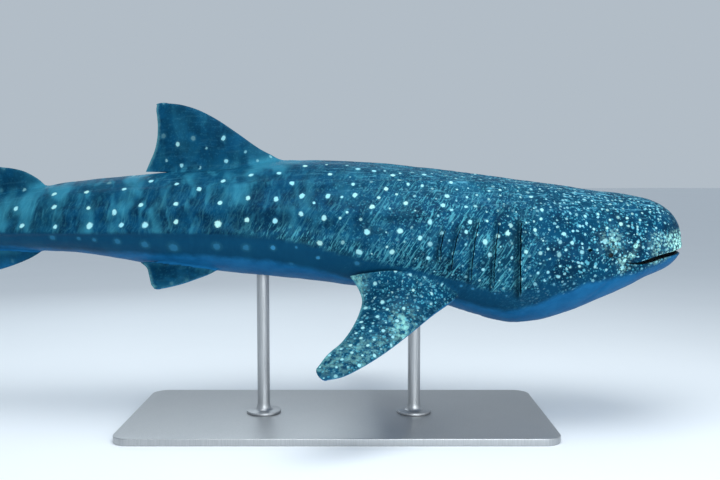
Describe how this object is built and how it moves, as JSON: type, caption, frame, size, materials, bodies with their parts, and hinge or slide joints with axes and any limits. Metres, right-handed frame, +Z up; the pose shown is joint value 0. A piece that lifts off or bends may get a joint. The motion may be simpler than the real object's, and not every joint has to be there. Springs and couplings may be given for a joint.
{
  "type": "whale shark display model",
  "caption": "Life-size whale shark in a steady swimming pose, spotted slate-blue back and pale belly, held over a flat steel base by two short rods.",
  "frame": {"origin": "on the floor, under the middle of the whole model's bounding box", "axes": "+X from the tail towards the snout, +Y towards the fish's left side, +Z up"},
  "size_m": [7, 2.4408, 2.546],
  "materials": {
    "spotted_skin": "satin, dark slate blue-green with rows of pale greenish-white spots and faint pale bars, paling to bluish white under the lowest ridge",
    "pale_skin": "satin, plain bluish white",
    "eye": "polished, near black",
    "stand_steel": "satin grey"
  },
  "bodies": {
    "root": {"head": "spotted_skin", "lower_jaw": "pale_skin", "eye_left": "eye", "eye_right": "eye", "gill_region": "spotted_skin", "trunk": "spotted_skin", "tail_stock": "spotted_skin", "dorsal_fin_first": "spotted_skin", "dorsal_fin_second": "spotted_skin", "pectoral_fin_left": "spotted_skin", "pectoral_fin_right": "spotted_skin", "pelvic_fin_left": "spotted_skin", "pelvic_fin_right": "spotted_skin", "anal_fin": "spotted_skin", "tail_fin_upper_lobe": "spotted_skin", "tail_fin_lower_lobe": "spotted_skin", "stand_base": "stand_steel", "stand_rod_front": "stand_steel", "stand_rod_rear": "stand_steel"}
  },
  "joints": []
}
